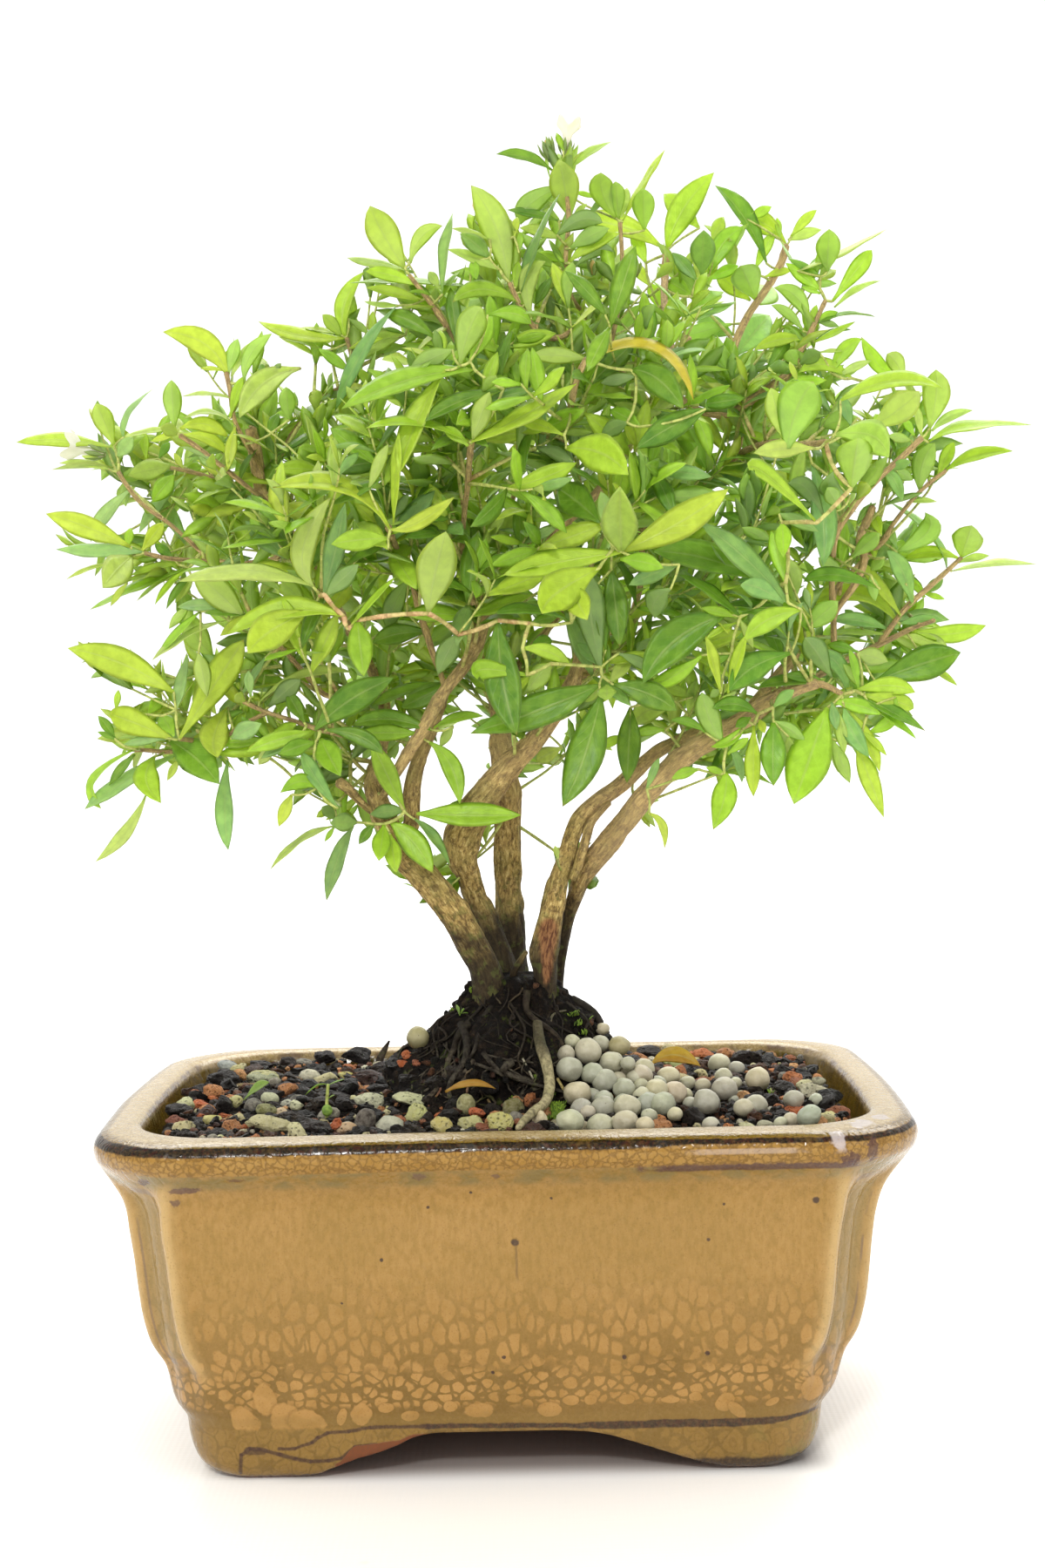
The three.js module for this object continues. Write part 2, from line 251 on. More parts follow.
      [-68.17, -8, 168.8, -77.17, -8.19, 172.41, -84.88, -8.38, 175.06, 4.51, -1.63],
      [-68.17, -8, 168.8, -75.11, -9.25, 168.11, -83.25, -10.5, 168.25, 4.12, -0.89],
    ],
  },
  leaves_17: {
    twigs: [[-26.81, 0.91, 202.64, -27.32, -0.1, 202.19], [-27.32, -0.1, 202.19, -29.66, 0, 208.67], [-29.66, 0, 208.67, -28.52, 1.71, 209.12], [-28.52, 1.71, 209.12, -16.6, 6, 210.04]],
    leaves: [
      [-29.66, 0, 208.67, -36.7, -0.2, 209.31, -44.96, 1.66, 212.51, 4.46, -0.74],
      [-29.66, 0, 208.67, -28.14, 0.21, 215.05, -24.22, 2.01, 221.68, 3.58, 0.91],
      [-16.6, 6, 210.04, -21.71, 5.04, 208.64, -24.72, 2.95, 204.99, 3.8, -1.57],
      [-16.6, 6, 210.04, -13.44, 8.53, 210.92, -10.98, 11.07, 210.58, 2.76, -1.33],
    ],
  },
  leaves_18: {
    twigs: [[15.95, -0.25, 239.61, 17.06, 0, 239.81], [17.06, 0, 239.81, 16.13, 0, 230.18], [16.13, 0, 230.18, 24.63, 2, 231.36]],
    leaves: [
      [16.13, 0, 230.18, 15.08, -5.76, 235.34, 14.03, -11.52, 239.57, 5.68, 0.23],
      [24.63, 2, 231.36, 22.41, -1.76, 234.8, 21.98, -6.62, 237.63, 4.61, 0.37],
      [17.06, 0, 239.81, 8.28, 0.52, 233.5, 6.5, 2.41, 230.11, 4.43, 1.23],
      [24.63, 2, 231.36, 25.2, -1.56, 233.95, 24.92, -5.13, 236.75, 3.13, 0.07],
    ],
  },
  leaves_19: {
    twigs: [[-22.62, -9.03, 114.87, -23.81, -13.1, 114.83], [-23.81, -13.1, 114.83, -27.02, -14.2, 115.3], [-23.81, -13.1, 114.83, -16.19, -13.1, 115.65]],
    leaves: [
      [-16.19, -13.1, 115.65, -5.62, -12.91, 116.06, 3.97, -15.09, 115.95, 5.02, 1.21],
      [-23.81, -13.1, 114.83, -16.42, -14.1, 111.09, -12.81, -16.61, 105.59, 4.95, 1.17],
      [-27.02, -14.2, 115.3, -30.81, -14.3, 108.62, -32.98, -16.21, 100.75, 3.79, -0.69],
      [-23.81, -13.1, 114.83, -22.35, -16.34, 111.68, -22.7, -19.57, 108.33, 3.63, -0.24],
    ],
  },
  leaves_20: {
    twigs: [[-14.78, -17.5, 217.6, -15.4, -17.5, 218.64], [-15.4, -17.5, 218.64, -3.13, -17.5, 214.62]],
    leaves: [
      [-3.13, -17.5, 214.62, -14.59, -13.69, 216.33, -26.05, -9.88, 217.26, 6.08, -0.38],
      [-15.4, -17.5, 218.64, -18.86, -20.71, 224.1, -20.81, -25.51, 228.15, 5.69, 0.72],
      [-15.4, -17.5, 218.64, -20.07, -16.69, 219.36, -26.05, -14.47, 221.08, 3.13, -0.67],
      [-15.4, -17.5, 218.64, -11.97, -17.5, 223.98, -7.99, -18.59, 225.73, 2.94, -1.27],
    ],
  },
  leaves_21: {
    twigs: [[-12.54, -12, 132.39, -11.68, -12.67, 131.86], [-11.68, -12.67, 131.86, -9.19, -8.69, 135.93], [-9.19, -8.69, 135.93, -8.61, -5.75, 141.37], [-8.61, -5.75, 141.37, -13.11, -4, 151.31]],
    leaves: [
      [-8.61, -5.75, 141.37, -17.85, -5.64, 139.65, -24.79, -3.44, 136.95, 3.98, -0.7],
      [-11.68, -12.67, 131.86, -9.05, -12.39, 125.38, -7.5, -14.36, 118.32, 3.8, 1.16],
      [-8.61, -5.75, 141.37, -14.49, -7.19, 138.73, -18.63, -9.72, 136.82, 4.03, -1.53],
      [-13.11, -4, 151.31, -19.35, -3.97, 150.95, -23.84, -5.27, 149.34, 4.05, -1.59],
    ],
  },
  leaves_22: {
    twigs: [[-3.16, -42.77, 182.79, -3.3, -43.96, 182.65], [-3.3, -43.96, 182.65, -2.13, -41.7, 195.48], [-2.13, -41.7, 195.48, -7.16, -41.7, 195.6]],
    leaves: [
      [-2.13, -41.7, 195.48, -13.59, -41.91, 194.05, -25.35, -45.04, 188.76, 6.21, -0.81],
      [-3.3, -43.96, 182.65, 6.07, -43.88, 187.1, 15.56, -47.5, 192.23, 5.32, 0.8],
      [-7.16, -41.7, 195.6, -12.23, -42.11, 187.33, -15.66, -44.93, 177.25, 5.18, -0.65],
      [-3.3, -43.96, 182.65, -12.22, -44.73, 186.19, -21.21, -48.88, 185.37, 4.74, -0.49],
    ],
  },
  leaves_23: {
    twigs: [[17.4, -37.48, 197.39, 17.26, -36.29, 197.25], [17.26, -36.29, 197.25, 16.72, -39.48, 190.58], [16.72, -39.48, 190.58, 13.33, -40.6, 183.87], [13.33, -40.6, 183.87, 19.42, -40.6, 168.48]],
    leaves: [
      [17.26, -36.29, 197.25, 29.1, -37.71, 198.86, 36.24, -40.58, 189.42, 6, 0.46],
      [13.33, -40.6, 183.87, 19.49, -45.38, 180.02, 23.9, -51.6, 175.42, 6.77, 1.32],
      [19.42, -40.6, 168.48, 15.75, -34.15, 172.68, 12.07, -27.69, 176.03, 6.16, -1.03],
      [17.26, -36.29, 197.25, 12.47, -37.32, 198.4, 7.84, -38.48, 198.33, 3.11, 1.4],
    ],
  },
  leaves_24: {
    twigs: [[69.77, -4.53, 164.88, 68.5, -6, 163.53], [68.5, -6, 163.53, 72.08, -16.4, 156.9], [72.08, -16.4, 156.9, 56.07, -16.4, 154.67]],
    leaves: [
      [72.08, -16.4, 156.9, 64, -16.3, 159.7, 57.75, -17.9, 158.45, 3.78, -0.97],
      [56.07, -16.4, 154.67, 55.15, -20.02, 158.82, 54.23, -23.65, 162.69, 4.25, 0.17],
      [68.5, -6, 163.53, 70.79, -8.65, 165.72, 73.07, -11.3, 167.67, 3.36, -1.1],
      [68.5, -6, 163.53, 67.02, -5.59, 166.47, 67.74, -5.19, 170.27, 2.35, -0.13],
    ],
  },
  leaves_25: {
    twigs: [[16.42, -18.83, 172.1, 22.89, -42.8, 163.06], [22.89, -42.8, 163.06, 18.87, -42.8, 160.41]],
    leaves: [
      [18.87, -42.8, 160.41, 11.39, -48.53, 156.04, 8.57, -55.8, 152.06, 7.04, -1.1],
      [22.89, -42.8, 163.06, 33.02, -42.34, 167.94, 41.36, -44.48, 173.34, 5.82, 1.7],
      [22.89, -42.8, 163.06, 11.58, -42.93, 161.64, 2.11, -45.59, 159.43, 5.37, -1.06],
      [22.89, -42.8, 163.06, 22.49, -48.3, 168.53, 22.31, -55.18, 173.38, 6.43, -3.14],
    ],
  },
  leaves_26: {
    twigs: [[-45.51, -23.95, 153.58, -46.49, -24.55, 153.23], [-46.49, -24.55, 153.23, -54.58, -24.1, 147.61], [-54.58, -24.1, 147.61, -55.93, -24.1, 156.44]],
    leaves: [
      [-46.49, -24.55, 153.23, -50.39, -26.5, 158.59, -54.14, -30.45, 161.94, 5.46, 1.2],
      [-46.49, -24.55, 153.23, -56.52, -24.41, 150.85, -62.68, -26.62, 146.47, 3.98, -0.3],
      [-55.93, -24.1, 156.44, -55.54, -20.39, 150.95, -53.11, -15.55, 147.45, 4.82, -0.63],
      [-55.93, -24.1, 156.44, -58.06, -24.7, 151.42, -62.09, -25.3, 146.96, 2.91, -0.55],
    ],
  },
};

// Fertiliser prills lying together right of the root mound: [x, y, z, radius].
const PRILLS = [
  [12.1, -18.0, 68.2, 3.4], [15.7, -13.2, 70.6, 3.6], [18.3, -8.4, 71.3, 2.6], [21.8, -9.0, 70.8, 2.8], [20.1, -12.8, 68.3, 3.1],
  [23.2, -15.0, 68.4, 2.3], [18.5, -18.4, 65.8, 3.2], [13.4, -22.8, 64.4, 4.2], [25.8, -14.4, 66.1, 3.0], [22.1, -21.6, 64.7, 3.0],
  [18.0, -28.4, 62.6, 3.1], [22.3, -29.6, 62.9, 3.6], [28.2, -20.4, 64.1, 3.2], [29.0, -28.0, 62.9, 3.2],
];
// Larger loose stones: [x, y, z, half sizes].
const STONES = {
  stone_left_front: [-42.6, -34.5, 62.2, 4.4, 2.7, 2.2, 0xd9cf9f],
  stone_left_back: [-26, -13.2, 62.8, 3, 2.3, 2.1, 0xc9cdb8],
  stone_right: [55.6, -9.8, 62.3, 3, 2.3, 1.9, 0xd8cdb4],
};

// ---------------------------------------------------------------- solids
function solid(geometry) {
  const g = geometry.clone();
  g.deleteAttribute('normal');
  g.deleteAttribute('uv');
  const m = mergeVertices(g, 1e-4);
  const src = m.index.array;
  const tri = [];
  for (let i = 0; i < src.length; i += 3) {
    const [a, b, c] = [src[i], src[i + 1], src[i + 2]];
    if (a !== b && b !== c && c !== a) tri.push(a, b, c);
  }
  const pos = new Float32Array(m.attributes.position.array);
  let s = new Manifold(new SolidMesh({ numProp: 3, vertProperties: pos, triVerts: new Uint32Array(tri) }));
  if (s.volume() < 0) {
    for (let i = 0; i < tri.length; i += 3) [tri[i], tri[i + 1]] = [tri[i + 1], tri[i]];
    s = new Manifold(new SolidMesh({ numProp: 3, vertProperties: pos, triVerts: new Uint32Array(tri) }));
  }
  return s;
}

function largestPart(s) {
  return s.decompose().reduce((a, b) => (b.volume() > a.volume() ? b : a));
}

function largest(s) {
  const parts = s.decompose();
  let best = parts[0];
  for (const p of parts) if (p.volume() > best.volume()) best = p;
  // slivers left by the cuts are collapsed
  best = best.asOriginal().simplify(0.03);
  return largestPart(best);
}

// Booleans are worked out at once, so that no long chain of them builds up.
const done = (s) => (s.numTri() >= 0 ? s : s);
const join = (list) => done(Manifold.union(list));

function geometryOf(s) {
  const m = s.getMesh();
  const g = new THREE.BufferGeometry();
  g.setAttribute('position', new THREE.BufferAttribute(new Float32Array(m.vertProperties), 3));
  g.setIndex(new THREE.BufferAttribute(new Uint32Array(m.triVerts), 1));
  return g;
}

// A round tube whose radius follows the points of its centre line.
function tube(points, sides, grow = 0) {
  const centre = points.map((p) => new THREE.Vector3(p[0], p[1], p[2]));
  const first = centre[0].clone().sub(centre[1]).normalize();
  const last = centre[centre.length - 1].clone().sub(centre[centre.length - 2]).normalize();
  centre[0].addScaledVector(first, grow);
  centre[centre.length - 1].addScaledVector(last, grow);
  const path = new THREE.CatmullRomCurve3(centre);
  const steps = points.length - 1;
  const outline = new THREE.Shape();
  for (let i = 0; i < sides; i++) {
    const a = (2 * Math.PI * i) / sides;
    if (i) outline.lineTo(Math.cos(a), Math.sin(a));
    else outline.moveTo(1, 0);
  }
  const g = new THREE.ExtrudeGeometry(outline, { steps, bevelEnabled: false, extrudePath: path, curveSegments: 1 });
  const stations = [];
  for (let i = 0; i <= steps; i++) stations.push(path.getPointAt(i / steps));
  const at = (u) => {
    const k = Math.min(u * steps, steps - 1e-6), i = Math.floor(k);
    return points[i][3] * (1 - (k - i)) + points[i + 1][3] * (k - i) + grow;
  };
  const v = new THREE.Vector3();
  const p = g.attributes.position;
  for (let i = 0; i < p.count; i++) {
    v.fromBufferAttribute(p, i);
    let k = 0, d = Infinity;
    stations.forEach((s, j) => { const e = Math.abs(s.distanceTo(v) - 1); if (e < d - 1e-9) { d = e; k = j; } });
    v.sub(stations[k]).multiplyScalar(at(k / steps)).add(stations[k]);
    p.setXYZ(i, v.x, v.y, v.z);
  }
  return solid(g);
}

// A straight twig with a square section.
function twig(a, b, r) {
  const d = b.clone().sub(a);
  const g = new THREE.CylinderGeometry(r, r, d.length() + 0.5, 4, 1);
  g.applyQuaternion(new THREE.Quaternion().setFromUnitVectors(new THREE.Vector3(0, 1, 0), d.clone().normalize()));
  g.translate((a.x + b.x) / 2, (a.y + b.y) / 2, (a.z + b.z) / 2);
  return solid(g);
}

function node(p, r) {
  const g = new THREE.OctahedronGeometry(r, 0);
  g.translate(p.x, p.y, p.z);
  return solid(g);
}

// A pointed leaf: an octahedron stretched from base to tip, with its middle lifted.
function leaf(q, grow = 0) {
  const base = new THREE.Vector3(q[0], q[1], q[2]);
  const mid = new THREE.Vector3(q[3], q[4], q[5]);
  const tip = new THREE.Vector3(q[6], q[7], q[8]);
  const ax = tip.clone().sub(base).normalize();
  const ref = Math.abs(ax.z) < 0.97 ? new THREE.Vector3(0, 0, 1) : new THREE.Vector3(0, -1, 0);
  const n0 = ref.clone().addScaledVector(ax, -ref.dot(ax)).normalize();
  const b0 = ax.clone().cross(n0);
  const n = n0.clone().multiplyScalar(Math.cos(q[10])).addScaledVector(b0, Math.sin(q[10]));
  const w = ax.clone().cross(n);
  const g = new THREE.OctahedronGeometry(1, 0);
  const p = g.attributes.position;
  const t = new THREE.Vector3();
  for (let i = 0; i < p.count; i++) {
    const x = p.getX(i), y = p.getY(i), z = p.getZ(i);
    if (x > 0.5) t.copy(tip).addScaledVector(ax, grow);
    else if (x < -0.5) t.copy(base).addScaledVector(ax, -grow);
    else t.copy(mid).addScaledVector(w, y * (q[9] / 2 + grow)).addScaledVector(n, z * (LEAF_HALF_THICKNESS + grow));
    p.setXYZ(i, t.x, t.y, t.z);
  }
  return solid(g);
}

// ---------------------------------------------------------------- pot outline
// Samples of a quarter outline: [kind, parameter].
const QUARTER = [];
for (const t of [0, 0.35, 0.7]) QUARTER.push(['side', t]);
for (let i = 0; i <= 8; i++) QUARTER.push(['corner', i / 8]);
for (const t of [0.35, 0.7]) QUARTER.push(['front', t]);
const OUTLINE = [];
for (let q = 0; q < 4; q++) for (const s of QUARTER) OUTLINE.push([q, ...s]);
const SEGMENTS = OUTLINE.length;

function outlinePoint(k, hx, hy, cornerR, indent) {
  const [q, kind, t] = OUTLINE[k % SEGMENTS];
  const rc = Math.max(0, Math.min(cornerR, hy * 0.9));
  // quarters 0 and 2 run from the side to the front, 1 and 3 mirrored
  const forward = q % 2 === 0;
  const kk = forward ? kind : (kind === 'side' ? 'front' : kind === 'front' ? 'side' : 'corner');
  let x, y;
  if (kk === 'corner') {
    const u = forward ? t : 1 - t;
    const a = (u * Math.PI) / 2;
    const push = indent * Math.min(1, Math.sin(2 * a) * 1.6);
    x = hx - rc + (rc - push) * Math.cos(a);
    y = hy - rc + (rc - push) * Math.sin(a);
  } else if (kk === 'side') {
    x = hx; y = (hy - rc) * (forward ? t : 1 - t);
  } else {
    y = hy; x = (hx - rc) * (forward ? 1 - t : t);
  }
  const sx = q === 0 || q === 3 ? 1 : -1, sy = q < 2 ? 1 : -1;
  return [sx * x, sy * y];
}

// Value at height z of a row of [z, value] pairs.
function along(z, pairs) {
  if (z <= pairs[0][0]) return pairs[0][1];
  for (let i = 1; i < pairs.length; i++) {
    const [z0, v0] = pairs[i - 1], [z1, v1] = pairs[i];
    if (z <= z1) return v0 + ((v1 - v0) * (z - z0)) / (z1 - z0);
  }
  return pairs[pairs.length - 1][1];
}
const lean = (z) => along(z, [[0, FOOT_SHIFT], [10, FOOT_SHIFT], [20, -0.9], [45, -0.9], [57, 0]]);
const bow = (y, z) => along(z, [[0, 0], [20, 0.3], [48, 0.6], [55, 0.7 * SIDE_BOW], [57, SIDE_BOW]]) * Math.max(0, 1 - (y / 50) ** 2);

// A lathe whose rounds follow the pot outline. rings: [half width, half depth, z, cornerR, indent, follows ground].
function potLathe(rings, height = null) {
  const g = new THREE.LatheGeometry(rings.map(([hx, , z]) => new THREE.Vector2(hx, z)), SEGMENTS);
  const p = g.attributes.position;
  for (let i = 0; i < p.count; i++) {
    const k = Math.floor(i / rings.length), j = i % rings.length;
    const [hx, hy, z, rc, indent = 0, ground = 0] = rings[j];
    const [x, y] = hx < 1e-6 ? [0, 0] : outlinePoint(k, hx, hy, rc, indent);
    const out = Math.sign(x) * Math.min(1, Math.abs(x) / 60) ** 2 * bow(y, z);
    p.setXYZ(i, x + out + lean(z), y, ground ? height(x, y) : z);
  }
  return solid(g);
}

const HD = POT_DEPTH / 2, HW = POT_WIDTH / 2 - SIDE_BOW;
// The ends lean in more than the front and back do.
const potRings = [
  [0, 0, FOOT_RECESS, 0], [45.6, 36.2, FOOT_RECESS, 6], [47.2, 37.8, 7.4, 6], [47.6, 38, 0, 6.5], [51.4, 41.2, 0, 7.5], [54.9, 43.6, 2.2, 8.5],
  [57, 44.5, 8, 9], [57.3, 44.7, 10.6, 9], [58.8, 45.2, 12.8, 9, 0.2], [60.3, 46, 18, 9, 0.9], [62.1, 46.8, 22.2, 9, 1.7], [64.1, 47.8, 27.6, 9, 2.8],
  [65.1, 48.5, 35, 9, CORNER_INDENT], [66.6, 48.9, 47, 9, CORNER_INDENT], [69, 50.2, 52.6, 11.4, 1.8], [72, HD - 1.3, 56.5, 16.5, 0.4],
  [HW, HD, 59.3, 18], [HW - 0.6, HD - 0.6, 61.2, 17.8], [70.2, 52, 62.2, 17], [67.2, 48.6, POT_HEIGHT, 17], [65.2, 46.3, 62, 17],
  [63.5, 44.4, 57.5, 16], [62, 43.2, 54, 14], [60, 42.2, 36, 11], [56.5, 40.5, 22, 9.5], [52, 37.5, FLOOR_TOP, 8], [0, 0, FLOOR_TOP, 0],
];
let pot = potLathe(potRings);

// Arches between the feet, cut through the skirt. turn carries an arch from the front to its side.
function cutArch(edge, turn) {
  const s = new THREE.Shape();
  s.moveTo(edge[0][0], -1);
  for (const [x, z] of edge) s.lineTo(x, z + 0.01);
  s.lineTo(edge[edge.length - 1][0], -1);
  s.closePath();
  const g = new THREE.ExtrudeGeometry(s, { depth: 90, bevelEnabled: false, curveSegments: 1 });
  g.rotateX(Math.PI / 2);
  g.rotateZ(turn);
  return solid(g);
}
function evenArch([half, height]) {
  const row = [];
  for (const t of [-1, -0.85, -0.7, -0.55, -0.4, -0.32]) {
    const u = (t + 1) / 0.68;
    row.push([t * half, height * u * u * (3 - 2 * u)]);
  }
  return [...row, ...row.map(([x, z]) => [-x, z]).reverse()];
}
pot = pot.subtract(cutArch(FRONT_ARCH, 0)).subtract(cutArch(evenArch(BACK_ARCH), Math.PI));
pot = pot.subtract(cutArch(evenArch(SIDE_ARCH), Math.PI / 2)).subtract(cutArch(evenArch(SIDE_ARCH), -Math.PI / 2));
for (const sx of [-1, 1]) {
  const g = new THREE.CylinderGeometry(DRAIN_R, DRAIN_R, 12, 16);
  g.rotateX(Math.PI / 2);
  g.translate(sx * DRAIN_X, 0, 10.5);
  pot = pot.subtract(solid(g));
}

// ---------------------------------------------------------------- soil
const MOUND = { x: 1.5, y: -1 };
const MOUND_FLATTEN = 0.8;      // the root mound is shallower than it is wide
const bump = (x, y) => 0.7 * Math.sin(x * 0.41 + 1.3) * Math.cos(y * 0.37 - 0.6) + 0.4 * Math.sin(x * 0.9 - y * 0.7);
function soilHeight(x, y) {
  const d = Math.hypot((x - MOUND.x) / 1.25, y - MOUND.y);
  const heap = 6 * Math.exp(-(((x - 21) / 10) ** 2) - ((y + 4) / 17) ** 2);
  return 59.9 + 3.6 * Math.exp(-((d / 20) ** 2)) + heap + bump(x, y);
}
const g0 = CLEARANCE;
const soilRings = [
  [0, 0, FLOOR_TOP + g0, 0], [51.2, 36.8, FLOOR_TOP + g0, 7.8], [55.7, 39.7, 22.4, 9], [59.2, 41.5, 36.4, 10.5], [61.2, 42.4, 54, 13.6], [62.2, 43.2, 57.2, 15.6],
  [61.4, 41.6, 59, 15, 0, 1], [52, 35, 60, 12, 0, 1], [40, 27, 60, 10, 0, 1], [26, 18, 60, 9, 0, 1], [12, 8, 60, 4, 0, 1], [0, 0, 60, 0, 0, 1],
];
const soil = potLathe(soilRings, soilHeight);
const soilBlocked = soil.translate([0, 0, CLEARANCE]).add(soil);

// ---------------------------------------------------------------- wood
const wood = {}, woodGrown = {};
for (const [name, parts] of Object.entries(WOOD)) {
  wood[name] = join(parts.map(([sides, pts]) => tube(pts, sides)));
  woodGrown[name] = join(parts.map(([sides, pts]) => tube(pts, sides, CLEARANCE)));
}
const stems = join(Object.entries(woodGrown).filter(([n]) => n.startsWith('stem')).map(([, s]) => s));

// Root mound: a lumpy bell around the feet of the stems.
const moundProfile = [
  [0, 55], [25, 55], [24, 62.5], [21.5, 66.5], [18.6, 70.5], [16.4, 73.6], [14.4, 76.2], [11.6, 77.8], [9.2, 80], [7.6, 83.4], [0, 84.6],
];
const MOUND_SEGMENTS = 14;
const moundGeometry = new THREE.LatheGeometry(moundProfile.map(([r, z]) => new THREE.Vector2(r, z)), MOUND_SEGMENTS);
{
  const p = moundGeometry.attributes.position;
  for (let i = 0; i < p.count; i++) {
    const k = Math.floor(i / moundProfile.length) % MOUND_SEGMENTS, j = i % moundProfile.length;
    const a = (2 * Math.PI * k) / MOUND_SEGMENTS;
    const [r, z] = moundProfile[j];
    const lump = 1 + 0.09 * Math.sin(3 * a + z * 0.35) + 0.07 * Math.sin(5 * a - z * 0.22 + 1);
    p.setXYZ(i, MOUND.x + r * lump * Math.cos(a), MOUND.y + r * lump * MOUND_FLATTEN * Math.sin(a), z);
  }
}
const mound = largest(solid(moundGeometry).subtract(soilBlocked).subtract(stems));
const moundGrown = solid((() => {
  const g = moundGeometry.clone();
  const p = g.attributes.position;
  for (let i = 0; i < p.count; i++) {
    const j = i % moundProfile.length;
    const [r, z] = moundProfile[j];
    const k = r > 0 ? (r + 0.45) / r : 1;
    p.setXYZ(i, MOUND.x + (p.getX(i) - MOUND.x) * k, MOUND.y + (p.getY(i) - MOUND.y) * k, z + (z > 80 ? 0.4 : 0));
  }
  return g;
})());

let blocked = moundGrown;
const pieces = [];
const add = (name, s, color, roughness, metalness = 0) => pieces.push({ name, s, color, roughness, metalness });

add('pot', pot, 0xb08a45, 0.22);
add('soil', soil, 0x3b3029, 0.95);
add('root_mound', mound, 0x2a211a, 0.95);

for (const name of Object.keys(WOOD)) {
  const isStem = name.startsWith('stem');
  add(name, largest(isStem ? cutLater(name) : wood[name].subtract(blocked)), isStem ? 0x8b6d4d : 0x7d6748, 0.85);
  blocked = done(blocked.add(woodGrown[name]));
}
function cutLater(name) {
  let s = wood[name];
  for (const other of Object.keys(WOOD)) {
    if (other === name) break;
    if (other.startsWith('stem')) s = s.subtract(woodGrown[other]);
  }
  return s;
}

// ---------------------------------------------------------------- shoots
for (const [name, { twigs, leaves }] of Object.entries(SHOOTS)) {
  const solids = [], grown = [];
  for (const t of twigs) {
    const a = new THREE.Vector3(t[0], t[1], t[2]), b = new THREE.Vector3(t[3], t[4], t[5]);
    solids.push(twig(a, b, TWIG_R), node(b, NODE_R));
    grown.push(twig(a, b, TWIG_R + CLEARANCE), node(b, NODE_R + 0.5));
  }
  for (const l of leaves) {
    solids.push(leaf(l));
    grown.push(leaf(l, CLEARANCE));
  }
  add(name, largest(join(solids).subtract(blocked)), 0x7f9a3c, 0.45);
  blocked = done(blocked.add(join(grown)));
}

// ---------------------------------------------------------------- flowers
// A trumpet: calyx, tube and an open mouth, on the line from calyx to mouth.
function trumpet(from, to, tubeR, mouthR, calyxR) {
  const a = new THREE.Vector3(...from), b = new THREE.Vector3(...to);
  const d = b.clone().sub(a), L = d.length();
  const prof = [[0, -1.2], [calyxR * 0.6, -0.9], [calyxR, 0.6], [tubeR, 2.4], [tubeR, L * 0.55], [mouthR, L * 0.92], [mouthR * 0.9, L], [0, L * 0.86]];
  const g = new THREE.LatheGeometry(prof.map(([r, z]) => new THREE.Vector2(r, z)), 8);
  g.applyQuaternion(new THREE.Quaternion().setFromUnitVectors(new THREE.Vector3(0, 1, 0), d.normalize()));
  g.translate(a.x, a.y, a.z);
  return solid(g);
}
const flowers = {
  flower_left: [[-75.6, 2, 187.4], [-83.4, 2, 189.4], 0.9, 3, 1.5],
  flower_top: [[15.3, 0, 242.4], [16.4, 0, 249.6], 0.8, 3.2, 1.4],
  flower_bud: [[0.4, -6, 227.6], [-2.2, -6, 233.4], 1, 1.3, 1.6],
};
for (const [name, f] of Object.entries(flowers)) {
  const s = largest(trumpet(...f).subtract(blocked));
  add(name, s, 0xf4f0e4, 0.6);
  blocked = blocked.add(trumpet(f[0], f[1], f[2] + CLEARANCE, f[3] + CLEARANCE, f[4] + CLEARANCE));
}

// ---------------------------------------------------------------- on the soil
let ground = done(soilBlocked.add(blocked));
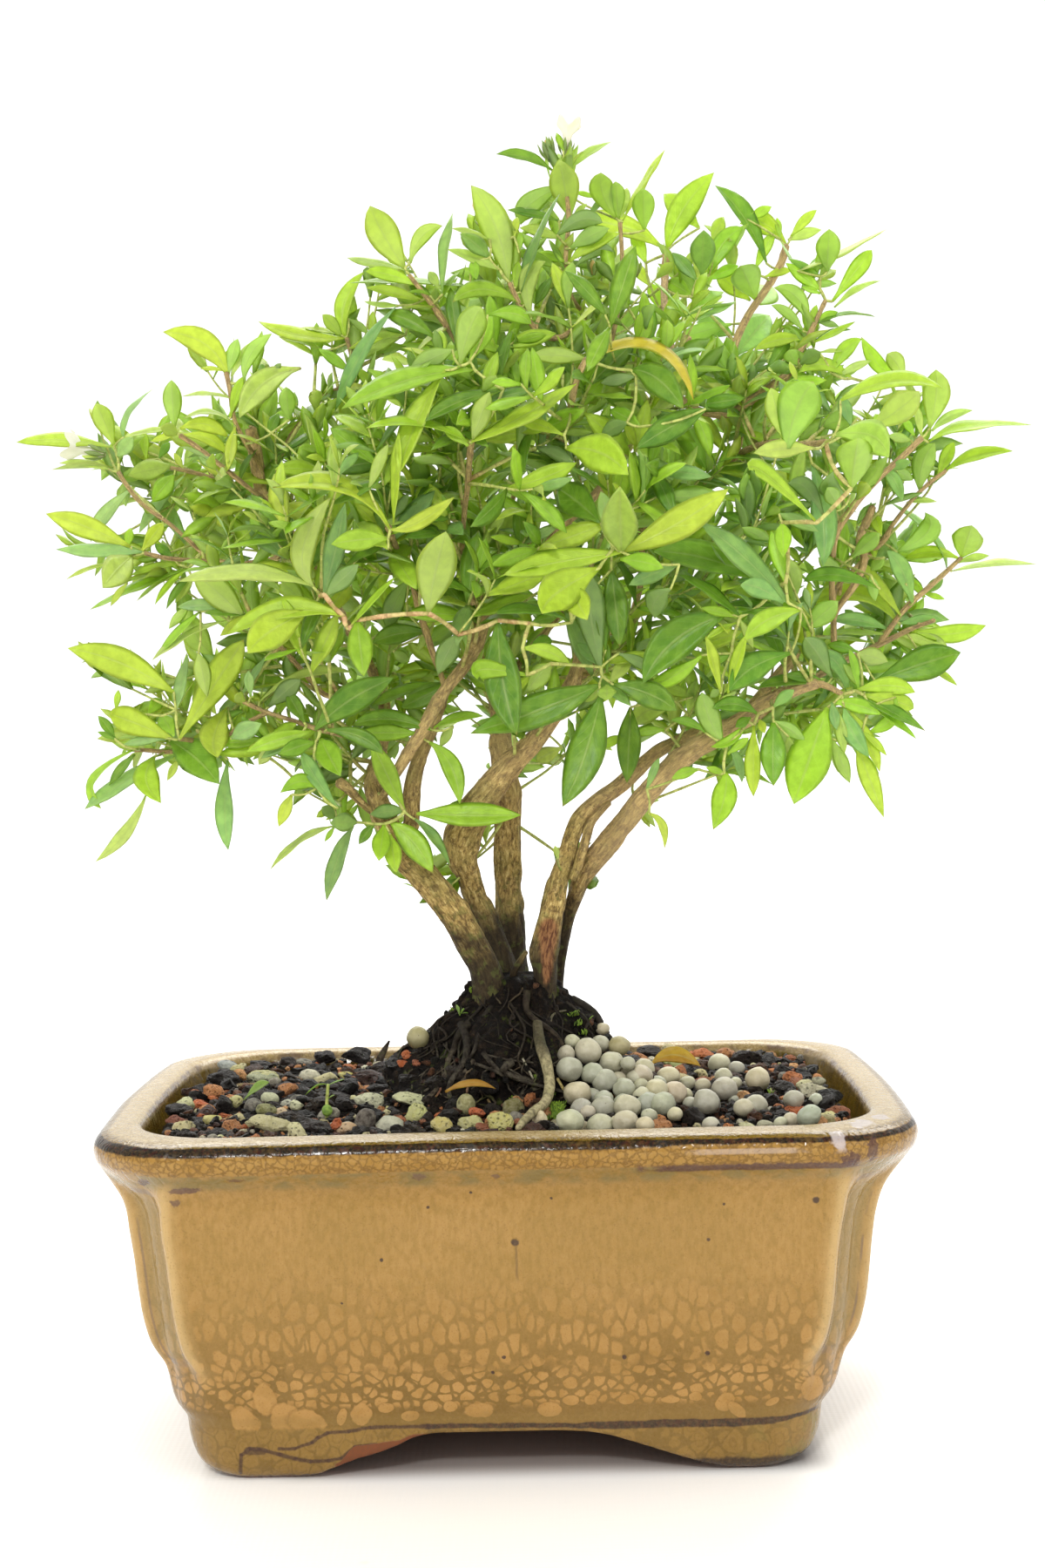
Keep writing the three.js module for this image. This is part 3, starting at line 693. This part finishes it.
// make(grow) builds the piece, or the same piece thickened by the clearance.
function place(name, make, color, roughness) {
  add(name, largest(make(0).subtract(ground)), color, roughness);
  ground = done(ground.add(make(CLEARANCE)));
}
const blob = (x, y, z, rx, ry, rz, turn = 0, grow = 0) => {
  const g = new THREE.IcosahedronGeometry(1, 0);
  g.rotateZ(turn);
  g.scale(rx + grow * 1.3, ry + grow * 1.3, rz + grow * 1.3);
  g.translate(x, y, z);
  return solid(g);
};
const rootPath = [[6.6, -15, 73, 1.1], [7.8, -18.6, 69.4, 1.05], [8.2, -22.4, 65, 1], [7, -27.5, 63.4, 0.95], [4.6, -32, 62.7, 0.9], [2.6, -37, 62.1, 0.7]];
place('surface_root', (g) => tube(rootPath, 6, g), 0x8c7f66, 0.9);
place('prills', (g) => join(PRILLS.map(([x, y, z, r], i) => blob(x, y, z, r, r, r, i * 0.7, g))), 0xcfcabb, 0.7);
for (const [name, [x, y, z, rx, ry, rz, color]] of Object.entries(STONES)) {
  place(name, (g) => blob(x, y, z, rx, ry, rz, x, g), color, 0.95);
}
place('moss', (g) => blob(9.6, -27.4, 62.6, 1.9, 3.2, 1.7, 0.4, g), 0x5d7a1f, 1);
place('seedling', (g) => join([
  tube([[-33.4, -21.5, 61, 0.5], [-33.4, -21.6, 64, 0.45], [-33.2, -21.5, 66.8, 0.5]], 5, g),
  leaf([-33.2, -21.5, 66.5, -35, -21.8, 66.4, -37.2, -22, 65.1, 1.6, 0.2], g),
  leaf([-33.2, -21.5, 66.5, -31.6, -21.8, 67.2, -29.9, -22, 67.6, 1.4, 0.2], g),
  blob(-33.4, -21.5, 61.6, 1.1, 1, 1.1, 0, g),
]), 0x8fb04a, 0.5);
place('leaf_fallen_gold', (g) => leaf([28.4, 3, 64.9, 33, 3.6, 65.4, 38, 3, 64.4, 4.6, 0.15], g), 0xd79a22, 0.5);
place('leaf_fallen_orange', (g) => leaf([-11.2, -22, 65.2, -6.6, -22.6, 66, -2, -22.4, 65.4, 2.2, 0.2], g), 0xc98a3c, 0.5);
place('leaf_fallen_green', (g) => leaf([-50.1, -12, 62.4, -47.6, -13, 64.6, -45.2, -14, 66, 2.2, 0.5], g), 0x87a05c, 0.5);

// ---------------------------------------------------------------- assembly
const tree = new THREE.Group();
const box = new THREE.Box3();
for (const { name, s, color, roughness, metalness } of pieces) {
  const geometry = geometryOf(s);
  geometry.computeBoundingBox();
  box.union(geometry.boundingBox);
  const c = geometry.boundingBox.getCenter(new THREE.Vector3());
  geometry.translate(-c.x, -c.y, -c.z);
  geometry.computeVertexNormals();
  const mesh = new THREE.Mesh(geometry, new THREE.MeshStandardMaterial({ color, roughness, metalness }));
  mesh.name = name;
  mesh.position.copy(c);
  tree.add(mesh);
}
// The origin is the middle of the underside of the whole object.
tree.position.set(-(box.min.x + box.max.x) / 2, -(box.min.y + box.max.y) / 2, -box.min.z);

export default tree;
